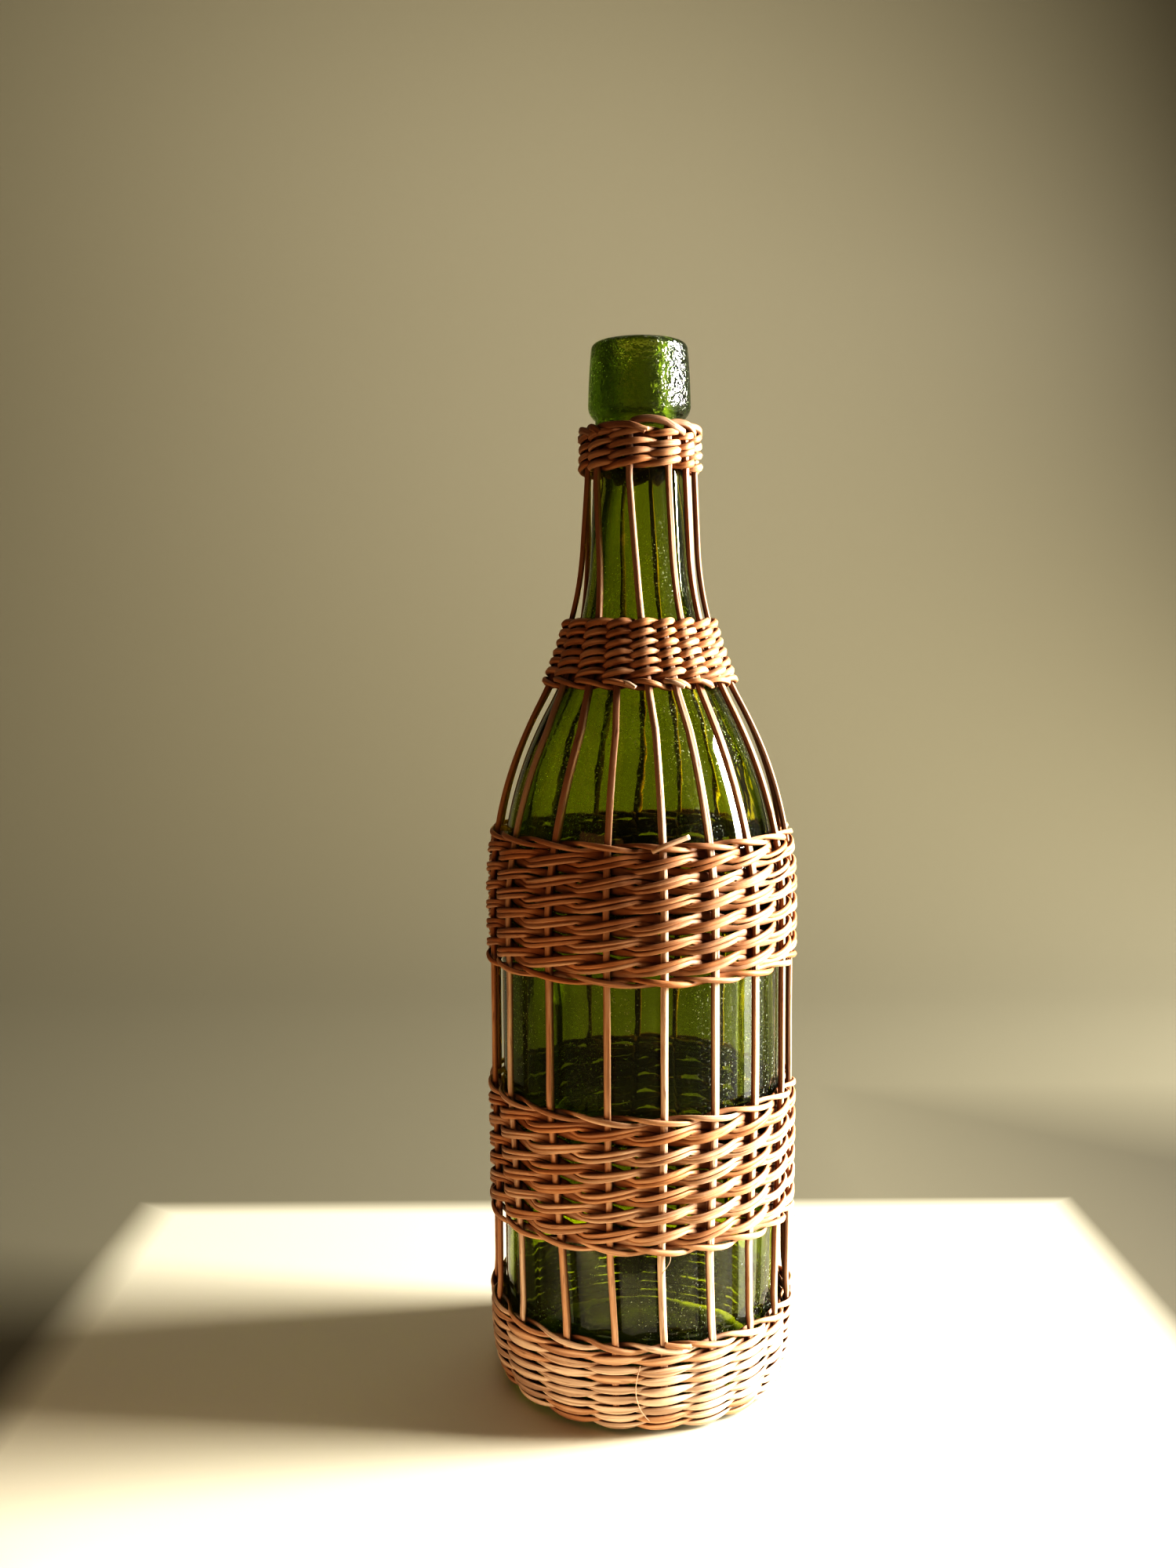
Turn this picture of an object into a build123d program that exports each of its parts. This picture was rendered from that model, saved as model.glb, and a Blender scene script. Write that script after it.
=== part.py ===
from build123d import *

import os
from math import acos, asin, atan2, cos, degrees, pi, radians, sin, sqrt, tan

# A tall round wine bottle of green glass in an open cover of split cane.
# Upright canes, the stakes, stand round the bottle. Thin canes, the weavers, run round it in pairs:
# at each stake one of the pair passes outside and the other inside, and between stakes they cross.
# Sizes are millimetres. The bottle stands on the origin with +Z up, and -Y is its front.

# Glass bottle, outside
height = 320.0
body_radius = 43.2
shoulder_level = 154.0
shoulder_round = 117.0
neck_sweep = 108.0
neck_radius = 13.4
neck_taper = 2.4
lip_level = 297.2
lip_radius = 15.5
lip_rise = 5.3
lip_belly = 0.8
lip_top_radius = 14.6
lip_round = 2.0
heel_depth = 9.0
heel_rise = 18.0

# Glass bottle, inside
wall = 2.7
base_thickness = 5.0
punt_radius = 31.0
punt_height = 13.0
bore_radius = 9.25
bore_length = 42.0
mouth_round = 1.2

# Cane
stake_diameter = 2.2
weaver_diameter = 1.3
clearance = 0.06
weave_slack = 0.3
weaver_bend = 4.0
butt_gap = 0.5
bend_share = 0.45
border_share = 0.95
straight_turn = 0.05
stake_radius = stake_diameter / 2
weaver_radius = weaver_diameter / 2
reach = stake_radius + weaver_radius + clearance
stand_off = stake_radius + weaver_diameter + weave_slack + 3 * clearance

# Bands of weaving, each from the height of its lowest row
base_band_level = 3.4
base_band_rows = 9
base_row_pitch = 3.05
lower_band_level = 56.4
upper_band_level = 134.7
double_rows = 6
double_row_pitch = 5.85
lock_row_pitch = 4.35
shoulder_band_level = 218.3
shoulder_band_rows = 7
shoulder_row_pitch = 3.1
collar_level = 282.7
collar_rows = 4
collar_row_pitch = 2.9
single_lift = 0.76
double_lift = 1.66

# Stakes
stake_foot_level = 3.0
base_stake_level = 28.0
lower_stake_level = 53.0
body_stake_level = 98.0
shoulder_stake_level = 205.0
stake_top_level = 237.0
neck_stake_level = 278.0
bow_level = 248.0
neck_bow = 0.9
heel_step = 2.2
curve_step = 7.5
border_lift = 2.1

# Where the front stakes stand at each of those heights, in degrees from the front towards +X.
# The other stakes share the back evenly.
base_azimuths = (-73, -52, -30, -11.4, 5.9, 24.2, 41.6, 57.8, 73)
lower_azimuths = (-73, -53, -32, -13.3, 4.9, 23.2, 41.1, 59, 75)
body_azimuths = (-80, -60, -37, -14.2, 6.2, 25.4, 44.2, 64.3, 81)
shoulder_azimuths = (-80, -53.5, -31.5, -13.5, 5.2, 21.9, 37.5, 57.3, 75)
top_azimuths = (-84, -60, -37, -19, -1, 16, 33, 55, 76)
neck_azimuths = (-69, -50, -12, 28, 52, 73)
stake_count = 18
neck_stake_count = 10
neck_stakes = (0, 2, 4, 6, 7, 8, 10, 12, 14, 16)


def round_the_back(front, count):
    """All azimuths of a ring of stakes, from those at the front."""
    spread = 360 + front[0] - front[-1]
    spare = count - len(front)
    return list(front) + [front[-1] + spread * (k + 1) / (spare + 1) for k in range(spare)]


# The neck cone and the two arcs of the shoulder meet without a corner
taper = radians(neck_taper)
shoulder_centre = body_radius - shoulder_round
sweep_share = (
    neck_sweep
    - (shoulder_centre - neck_radius) * cos(taper)
    - (shoulder_level - lip_level) * sin(taper)
) / (shoulder_round + neck_sweep)
shoulder_turn = taper + acos(sweep_share)
sweep_centre = shoulder_centre + (shoulder_round + neck_sweep) * cos(shoulder_turn)
sweep_level = shoulder_level + (shoulder_round + neck_sweep) * sin(shoulder_turn)


def wall_line(level, off):
    """Radius and outward tilt, at a height, of the line that lies off outside the glass."""
    if level < heel_rise:
        half_wide = heel_depth + off
        half_high = heel_rise + off
        drop = (heel_rise - level) / half_high
        radius = body_radius - heel_depth + half_wide * sqrt(1 - drop**2)
        return radius, -atan2(drop / half_high, sqrt(1 - drop**2) / half_wide)
    if level < shoulder_level:
        return body_radius + off, 0.0
    if level < shoulder_level + (shoulder_round + off) * sin(shoulder_turn):
        tilt = asin((level - shoulder_level) / (shoulder_round + off))
        return shoulder_centre + (shoulder_round + off) * cos(tilt), tilt
    if level < sweep_level - (neck_sweep - off) * sin(taper):
        tilt = asin((sweep_level - level) / (neck_sweep - off))
        return sweep_centre - (neck_sweep - off) * cos(tilt), tilt
    return neck_radius + (lip_level - level) * tan(taper) + off / cos(taper), taper


def cover_point(level, azimuth, out=0.0, up=0.0):
    """A point of the cover: out and up are measured from the stakes' line, square to and along the glass."""
    radius, tilt = wall_line(level, stand_off)
    radius += out * cos(tilt) - up * sin(tilt)
    turn = radians(azimuth)
    return Vector(radius * sin(turn), -radius * cos(turn), level + out * sin(tilt) + up * cos(tilt))


def real_corners(points):
    """The points without those that lie in line with their neighbours."""
    kept = [points[0]]
    for corner, after in zip(points[1:], points[2:]):
        if (corner - kept[-1]).get_angle(after - corner) > straight_turn:
            kept.append(corner)
    return kept + [points[-1]]


def bend_radii(points, largest):
    """The radius of the arc at each corner of a run of points, up to a largest one."""
    radii = []
    for before, corner, after in zip(points, points[1:], points[2:]):
        half_turn = radians((corner - before).get_angle(after - corner)) / 2
        shorter = min((corner - before).length, (after - corner).length)
        radii.append(min(largest, bend_share * shorter / tan(half_turn)))
    return radii


def cane(points, diameter, largest=height, last_bends=()):
    """A round cane along a run of points; last_bends are the radii of its last corners."""
    points = real_corners(points)
    radii = bend_radii(points, largest)
    radii = radii[: len(radii) - len(last_bends)] + list(last_bends)
    path = FilletPolyline(*points, radius=radii)
    return sweep(path.location_at(0) * Circle(diameter / 2), path=path)


def revolved(profile):
    """The solid that a closed outline of radius and height turns into."""
    return revolve(make_face(profile), Axis.Z)


def spot(radius, level):
    return Vector(radius, 0, level)


def bowed(start, end, bow):
    """An arc from start to end that stands off its chord by bow, to the left of the way along it."""
    way = end - start
    side = Vector(-way.Z, 0, way.X).normalized()
    return ThreePointArc(start, (start + end) * 0.5 + side * bow, end)


def turned_arc(centre, radius, start_turn, end_turn):
    """An arc about a centre, between two turns measured up from the outward direction."""
    turns = (start_turn, (start_turn + end_turn) / 2, end_turn)
    return ThreePointArc(*(centre + spot(radius * cos(t), radius * sin(t)) for t in turns))


def shoulder_arcs(inset):
    """The two arcs of the shoulder, from the body up to the neck, inset from the outside."""
    lower = turned_arc(spot(shoulder_centre, shoulder_level), shoulder_round - inset, 0, shoulder_turn)
    upper = turned_arc(spot(sweep_centre, sweep_level), neck_sweep + inset, pi + shoulder_turn, pi + taper)
    return lower, upper


def heel_arc(inset_wide, inset_high):
    """A quarter of an ellipse from the base ring up to the body."""
    centre = spot(body_radius - heel_depth, heel_rise)
    plane = Plane(origin=centre, x_dir=(1, 0, 0), z_dir=(0, -1, 0))
    return plane * EllipticalCenterArc((0, 0), heel_depth - inset_wide, heel_rise - inset_high, 270)


def make_glass():
    """The bottle: one piece of glass with its punt, its bore and the thick lip of a cork finish."""
    heel_out = heel_arc(0, 0)
    heel_in = heel_arc(wall, base_thickness)
    shoulder_out, sweep_out = shoulder_arcs(0)
    shoulder_in, sweep_in = shoulder_arcs(wall)
    ring = spot(body_radius - heel_depth, 0)
    floor = spot(body_radius - heel_depth, base_thickness)
    punt_foot = spot(punt_radius, 0)
    thick = spot(0, base_thickness)
    dome = (punt_radius**2 + punt_height**2) / (2 * punt_height)
    dome_centre = spot(0, punt_height - dome)
    dome_turn = atan2(dome - punt_height, punt_radius)
    lip_foot = spot(neck_radius, lip_level)
    lip_wide = spot(lip_radius, lip_level + lip_rise)
    lip_side = spot(lip_top_radius, height - lip_round)
    lip_top = spot(lip_top_radius - lip_round, height)
    mouth_top = spot(bore_radius + mouth_round, height)
    mouth_side = spot(bore_radius, height - mouth_round)
    bore_foot = spot(bore_radius, height - bore_length)
    outline = [
        turned_arc(dome_centre, dome, dome_turn, pi / 2),
        Line(punt_foot, ring),
        heel_out,
        Line(spot(body_radius, heel_rise), spot(body_radius, shoulder_level)),
        shoulder_out,
        sweep_out,
        Line(sweep_out @ 1, lip_foot),
        bowed(lip_foot, lip_wide, -lip_belly),
        Line(lip_wide, lip_side),
        turned_arc(lip_side - spot(lip_round, 0), lip_round, 0, pi / 2),
        Line(lip_top, mouth_top),
        turned_arc(mouth_top - spot(0, mouth_round), mouth_round, pi / 2, pi),
        Line(mouth_side, bore_foot),
        Line(bore_foot, sweep_in @ 1),
        sweep_in,
        shoulder_in,
        Line(spot(body_radius - wall, shoulder_level), spot(body_radius - wall, heel_rise)),
        heel_in,
        Line(floor, punt_foot + thick),
        turned_arc(dome_centre + thick, dome, dome_turn, pi / 2),
        Line(spot(0, punt_height + base_thickness), spot(0, punt_height)),
    ]
    return revolved(outline)


def stake_azimuth(number, level):
    """Where a stake stands at a height: it leans a little from one band to the next."""
    stops = [
        (base_stake_level, base_ring[number]),
        (lower_stake_level, lower_ring[number]),
        (body_stake_level, body_ring[number]),
        (shoulder_level, body_ring[number]),
        (shoulder_stake_level, shoulder_ring[number]),
        (stake_top_level, top_ring[number]),
    ]
    if number in neck_stakes:
        stops.append((neck_stake_level, neck_ring[neck_stakes.index(number)]))
    if level <= stops[0][0]:
        return stops[0][1]
    for (low, first), (high, last) in zip(stops, stops[1:]):
        if level < high:
            return first + (last - first) * (level - low) / (high - low)
    return stops[-1][1]


def steps(low, high, step):
    """Even heights from low up to high, about a step apart, without high."""
    count = max(1, round((high - low) / step))
    return [low + (high - low) * k / count for k in range(count)]


def border_span(place):
    """The turn from a neck stake to where its bent tail comes down beside the next one."""
    following = neck_ring[(place + 1) % neck_stake_count]
    radius, _ = wall_line(collar_top_level, stand_off)
    return (following - neck_ring[place]) % 360 - degrees((stake_diameter + 2 * clearance) / radius)


def make_stake(number):
    """An upright cane: about every second one goes on to the collar, where its tail bends over."""
    levels = steps(stake_foot_level, heel_rise, heel_step)
    levels += [heel_rise, base_stake_level, lower_stake_level, body_stake_level]
    levels += steps(shoulder_level, stake_top_level, curve_step)
    levels += [stake_top_level]
    points = [cover_point(z, stake_azimuth(number, z)) for z in levels]
    if number not in neck_stakes:
        return cane(points, stake_diameter)
    place = neck_stakes.index(number)
    azimuth = neck_ring[place]
    points.append(cover_point(bow_level, stake_azimuth(number, bow_level), out=neck_bow))
    points.append(cover_point(neck_stake_level, azimuth))
    span = border_span(place)
    radius, _ = wall_line(collar_top_level, stand_off)
    if radius * radians(span) < 2 * stake_diameter:
        return cane(points + [cover_point(collar_top_level, azimuth)], stake_diameter)
    border_level = collar_top_level + border_lift
    points.append(cover_point(border_level, azimuth))
    points.append(cover_point(border_level, azimuth + span))
    points.append(cover_point(collar_top_level, azimuth + span))
    corner = border_share * min(radius * radians(span) / 2, border_lift)
    return cane(points, stake_diameter, last_bends=(corner, corner))


def weaver_points(level, azimuths, first, twist, lift, up):
    """The corners of one weaver's round, which starts and ends behind one stake."""
    count = len(azimuths)
    radius, _ = wall_line(level, stand_off)
    butt = degrees(butt_gap / 2 / radius)
    points = []
    for k in range(count + 1):
        stake = (first + k) % count
        around = 360 * ((first + k) // count)
        azimuth = azimuths[stake] + around
        ahead = azimuths[(stake + 1) % count] + 360 * ((stake + 1) // count) + around
        outside = k % 2 == 1
        side = 1 if outside else -1
        shift = butt if k == 0 else -butt if k == count else 0
        out = side * apex_offset(level, azimuths, stake, outside)
        points.append(cover_point(level, azimuth + shift, out, up))
        if k < count:
            points.append(cover_point(level, (azimuth + ahead) / 2, 0, up + side * twist * lift))
    return points


def apex_offset(level, azimuths, stake, outside):
    """How far a weaver's corner stands off a stake's middle, so that its rounded bend just clears it."""
    count = len(azimuths)
    radius, tilt = wall_line(level, stand_off)
    gaps = [(azimuths[(stake + s) % count] - azimuths[(stake + s - 1) % count]) % 360 for s in (0, 1)]
    half = radians(min(gaps)) / 2
    offset = reach
    for _ in range(6):
        drop = radius * (1 - cos(half)) / cos(tilt)
        rise = offset + drop if outside else offset - drop
        half_turn = abs(atan2(rise, radius * sin(half)))
        shorter = sqrt(rise**2 + (radius * sin(half)) ** 2)
        bend = min(weaver_bend, bend_share * shorter / tan(half_turn)) if half_turn else weaver_bend
        offset = max(reach / cos(half_turn), reach + bend * (1 / cos(half_turn) - 1))
    return offset


def make_row(level, numbers, twist, lift, doubled):
    """One round of weaving: a pair of weavers, or of doubled weavers, twisted round the stakes."""
    azimuths = [stake_azimuth(n, level) for n in numbers]
    lines = (-0.5, 0.5) if doubled else (0,)
    back = len(numbers) * 2 // 3
    solids = []
    for first in (back, back + 1):
        for line in lines:
            up = line * (weaver_diameter + clearance)
            points = weaver_points(level, azimuths, first, twist, lift, up)
            solids.append(cane(points, weaver_diameter, weaver_bend))
    return Compound(children=solids)


def climb(level, pitch, count):
    """Heights of rows that lie a pitch apart, measured along the glass."""
    levels = [level]
    for _ in range(count - 1):
        _, tilt = wall_line(levels[-1] + pitch / 2, stand_off)
        levels.append(levels[-1] + pitch * cos(tilt))
    return levels


def band_levels(level):
    """Heights of a body band's rows: a lock row, the double rows and another lock row."""
    first = level + lock_row_pitch
    middle = [first + double_row_pitch * k for k in range(double_rows)]
    return [level] + middle + [middle[-1] + lock_row_pitch]


base_ring = round_the_back(base_azimuths, stake_count)
lower_ring = round_the_back(lower_azimuths, stake_count)
body_ring = round_the_back(body_azimuths, stake_count)
shoulder_ring = round_the_back(shoulder_azimuths, stake_count)
top_ring = round_the_back(top_azimuths, stake_count)
neck_ring = round_the_back(neck_azimuths, neck_stake_count)
collar_levels = climb(collar_level, collar_row_pitch, collar_rows)
collar_top_level = collar_levels[-1] + single_lift + weaver_radius + clearance


def save(shape, name):
    export_step(shape, f"parts/{name}.step")


def save_rows(band, levels, numbers, kinds):
    """Each row of a band as its own node, from the lowest up."""
    for k, (level, kind) in enumerate(zip(levels, kinds)):
        twist, doubled = kind
        lift = double_lift if doubled else single_lift
        save(make_row(level, numbers, twist, lift, doubled), f"{band}_row_{k + 1}")


os.makedirs("parts", exist_ok=True)
plain = (1, False)
double = (1, True)
lock = (-1, False)
every_stake = range(stake_count)
save(make_glass(), "glass_bottle")
for n in every_stake:
    save(make_stake(n), f"stake_{n + 1:02d}")
base_levels = climb(base_band_level, base_row_pitch, base_band_rows)
save_rows("base", base_levels, every_stake, [plain] * (base_band_rows - 1) + [lock])
save_rows("lower", band_levels(lower_band_level), every_stake, [lock] + [double] * double_rows + [lock])
save_rows("upper", band_levels(upper_band_level), every_stake, [lock] + [double] * double_rows + [lock])
shoulder_levels = climb(shoulder_band_level, shoulder_row_pitch, shoulder_band_rows)
save_rows("shoulder", shoulder_levels, every_stake, [lock] + [plain] * (shoulder_band_rows - 1))
save_rows("collar", collar_levels, neck_stakes, [plain] * collar_rows)
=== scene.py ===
import random
from dataclasses import dataclass
from math import acos, asin, atan2, cos, floor, pi, radians, sin, sqrt, tan

import bmesh
import bpy
from bpy.props import FloatProperty, FloatVectorProperty, PointerProperty
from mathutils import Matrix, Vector, noise


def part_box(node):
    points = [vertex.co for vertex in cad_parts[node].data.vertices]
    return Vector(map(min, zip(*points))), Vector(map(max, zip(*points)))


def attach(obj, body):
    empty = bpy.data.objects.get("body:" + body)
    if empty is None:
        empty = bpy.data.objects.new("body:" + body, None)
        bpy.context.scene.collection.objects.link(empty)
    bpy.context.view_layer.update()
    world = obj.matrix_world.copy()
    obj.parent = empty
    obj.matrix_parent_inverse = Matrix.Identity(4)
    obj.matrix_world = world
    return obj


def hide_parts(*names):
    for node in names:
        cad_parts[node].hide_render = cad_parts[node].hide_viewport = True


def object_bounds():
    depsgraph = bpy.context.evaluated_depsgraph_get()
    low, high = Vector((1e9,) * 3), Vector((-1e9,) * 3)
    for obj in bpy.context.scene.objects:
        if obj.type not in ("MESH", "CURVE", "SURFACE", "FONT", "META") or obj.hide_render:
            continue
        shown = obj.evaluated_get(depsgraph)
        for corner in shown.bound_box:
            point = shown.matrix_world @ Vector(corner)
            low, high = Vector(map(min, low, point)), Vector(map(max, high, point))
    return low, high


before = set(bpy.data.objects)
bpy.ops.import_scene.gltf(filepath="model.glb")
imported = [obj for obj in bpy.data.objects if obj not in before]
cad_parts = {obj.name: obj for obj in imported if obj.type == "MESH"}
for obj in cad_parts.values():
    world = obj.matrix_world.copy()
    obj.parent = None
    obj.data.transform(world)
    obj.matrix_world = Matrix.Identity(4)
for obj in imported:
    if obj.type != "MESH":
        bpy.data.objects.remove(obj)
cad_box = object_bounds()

bl_info = {
    "name": "Wicker bottle",
    "version": (1, 0, 0),
    "blender": (4, 5, 0),
    "location": "3D View > Sidebar > Wicker bottle",
    "description": "A green glass bottle in an open cover of woven split cane",
    "category": "Add Mesh",
}

MM = 0.001
GLASS_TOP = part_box("glass_bottle")[1].z

# Where the front stakes stand, in degrees from the front towards +X, from the foot up to the neck.
# The other stakes share the back evenly.
BASE_AZIMUTHS = (-73, -52, -30, -11.4, 5.9, 24.2, 41.6, 57.8, 73)
LOWER_AZIMUTHS = (-73, -53, -32, -13.3, 4.9, 23.2, 41.1, 59, 75)
BODY_AZIMUTHS = (-80, -60, -37, -14.2, 6.2, 25.4, 44.2, 64.3, 81)
SHOULDER_AZIMUTHS = (-80, -53.5, -31.5, -13.5, 5.2, 21.9, 37.5, 57.3, 75)
TOP_AZIMUTHS = (-84, -60, -37, -19, -1, 16, 33, 55, 76)
NECK_AZIMUTHS = (-69, -50, -12, 28, 52, 73)
STAKE_COUNT = 18
NECK_STAKE_COUNT = 10
NECK_STAKES = (0, 2, 4, 6, 7, 8, 10, 12, 14, 16)

# Heights of the bands' lowest rows and of the stakes' bends, and the pitches of the rows
BASE_BAND_LEVEL = 3.4 * MM
BASE_ROWS = 9
BASE_ROW_PITCH = 3.05 * MM
LOWER_BAND_LEVEL = 56.4 * MM
UPPER_BAND_LEVEL = 134.7 * MM
DOUBLE_ROWS = 6
DOUBLE_ROW_PITCH = 5.85 * MM
LOCK_ROW_PITCH = 4.35 * MM
SHOULDER_BAND_LEVEL = 218.3 * MM
SHOULDER_ROWS = 7
SHOULDER_ROW_PITCH = 3.1 * MM
COLLAR_LEVEL = 282.7 * MM
COLLAR_ROWS = 4
COLLAR_ROW_PITCH = 2.9 * MM
COLLAR_MARGIN = 1.5 * MM
COLLAR_TOP_LEVEL = COLLAR_LEVEL + (COLLAR_ROWS - 1) * COLLAR_ROW_PITCH + COLLAR_MARGIN
STAKE_FOOT_LEVEL = 3.0 * MM
BASE_STAKE_LEVEL = 28.0 * MM
LOWER_STAKE_LEVEL = 53.0 * MM
BODY_STAKE_LEVEL = 98.0 * MM
SHOULDER_STAKE_LEVEL = 205.0 * MM
STAKE_TOP_LEVEL = 237.0 * MM
NECK_STAKE_LEVEL = 278.0 * MM

# The base band keeps this share of its depth and sits this much further out. Its stakes go out with it,
# and come back over a run above it.
BASE_PRESS_SHARE = 0.62
BASE_SET_OUT = 0.5 * MM
BASE_SET_OUT_RUN = 6 * MM

# How finely the canes and the glass are divided
STEPS_PER_STAKE = 12
SIDES = 20
STAKE_STEP = 2.5 * MM
BORDER_STEPS = 7
LOOSE_END_STEPS = 6
SPIN_STEPS = 128
BODY_STEPS = 110
PUNT_STEPS = 16
HEEL_STEPS = 14
INNER_HEEL_STEPS = 10
LIP_STEPS = 8
LIP_SIDE_STEPS = 10
MOUTH_STEPS = 6
BORE_STEPS = 12
BORE_FOOT_STEPS = 10
MERGE_DISTANCE = 0.001 * MM

# How uneven the canes are; a share is of the size that varies
RIDGE_SHARE = 0.07
STAKE_SWAY = 0.22
STAKE_LEAN = 0.12 * MM
STAKE_SWELL_SHARE = 0.07
STAKE_SQUARENESS_SHARE = 0.06
NECK_THINNESS_SHARE = 0.9
WEAVER_SWELL_SHARE = 0.10
WEAVER_STRAY = 0.22 * MM
ROW_STRAY = 0.40 * MM
OUTWARD_STRAY = 0.07 * MM
LIFT_STRAY_SHARE = 0.22
PAIR_STRAY_SHARE = 0.3

# Seeds of what differs from cane to cane, spaced so that no two canes share one
SEEDS_PER_BAND = 20
SEEDS_PER_ROW = 10
SEEDS_PER_STRAND = 3
WEAVER_SEED = 100
LOOSE_END_SEED = 400


def length(name, default, description):
    """A size that a user can change."""
    return FloatProperty(name=name, default=default, description=description, unit="LENGTH", precision=5)


def tint_of(name, default, description):
    """A colour that a user can change."""
    return FloatVectorProperty(name=name, default=default, description=description, subtype="COLOR",
                               min=0.0, max=1.0)


class BottleSizes(bpy.types.PropertyGroup):
    """Sizes of the glass."""

    body_radius: length("Body radius", 43.2 * MM, "Outside radius of the straight body")
    shoulder_level: length("Shoulder level", 154 * MM, "Height where the body starts to draw in")
    shoulder_round: length("Shoulder round", 117 * MM, "Radius of the shoulder's outward curve")
    neck_sweep: length("Neck sweep", 108 * MM, "Radius of the inward curve into the neck")
    neck_radius: length("Neck radius", 13.4 * MM, "Outside radius under the lip")
    neck_taper: FloatProperty(name="Neck taper", default=radians(2.4), subtype="ANGLE",
                              description="Lean of the neck's side")
    lip_level: length("Lip level", 297.2 * MM, "Height of the lip's underside")
    lip_radius: length("Lip radius", 15.5 * MM, "Outside radius of the lip where it is widest")
    lip_rise: length("Lip rise", 5.3 * MM, "Height from the lip's underside to where it is widest")
    lip_belly: length("Lip belly", 0.8 * MM, "Roundness of the lip's underside")
    lip_top_radius: length("Lip top radius", 14.6 * MM, "Outside radius of the lip at its top")
    lip_round: length("Lip round", 2.0 * MM, "Radius of the lip's top edge")
    heel_depth: length("Heel depth", 9 * MM, "How far the heel draws in")
    heel_rise: length("Heel rise", 18 * MM, "How high the heel's curve goes")
    wall: length("Wall", 2.7 * MM, "Thickness of the glass")
    base_thickness: length("Base thickness", 5 * MM, "Thickness of the glass in the base")
    punt_radius: length("Punt radius", 31 * MM, "Radius of the hollow in the base")
    punt_height: length("Punt height", 13 * MM, "Height of the hollow in the base")
    bore_radius: length("Bore radius", 9.25 * MM, "Radius of the mouth")
    bore_length: length("Bore length", 42 * MM, "Length of the mouth's straight bore")
    mouth_round: length("Mouth round", 1.2 * MM, "Radius of the mouth's edge")
    waviness: length("Waviness", 0.10 * MM, "Unevenness of the outside of the glass")
    inner_waviness: length("Inner waviness", 0.4 * MM, "Unevenness of the inside of the glass")


class CaneSizes(bpy.types.PropertyGroup):
    """Sizes of the stakes and weavers."""

    stand_off: length("Stand-off", 2.88 * MM, "From the glass to the middle of the stakes")
    stake_width: length("Stake width", 2.25 * MM, "Width of an upright cane")
    stake_depth: length("Stake depth", 1.9 * MM, "Thickness of an upright cane")
    gap: length("Gap", 0.04 * MM, "Room between a stake and a weaver that passes it")


class FinishColours(bpy.types.PropertyGroup):
    """Colours of the glass, the cane and the stage."""

    glass: tint_of("Glass", (0.74, 0.82, 0.15), "Green of the glass")
    glass_deep: tint_of("Deep glass", (0.11, 0.16, 0.014), "Green of the glass where it is thick")
    cane_pale: tint_of("Pale cane", (0.80, 0.62, 0.45), "Cane where its skin is clean")
    cane_tan: tint_of("Tan cane", (0.58, 0.29, 0.125), "Most of the cane")
    # Brown is also painted shade: on the cane's inner side, behind the stakes and higher up the bottle.
    cane_brown: tint_of("Brown cane", (0.15, 0.04, 0.01), "Cane in its grooves and where it is aged")
    floor: tint_of("Floor", (0.66, 0.62, 0.49), "Pale floor")
    floor_far: tint_of("Far floor", (0.185, 0.170, 0.122), "Floor well behind the bottle")
    floor_side: tint_of("Side floor", (0.06, 0.054, 0.038), "Floor towards the main light")
    backdrop: tint_of("Backdrop", (0.205, 0.185, 0.126), "Backdrop behind the floor")


# The heel's curve is followed down to this share of its height, short of where it lies flat.
LOWEST_DROP_SHARE = 0.995


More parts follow.
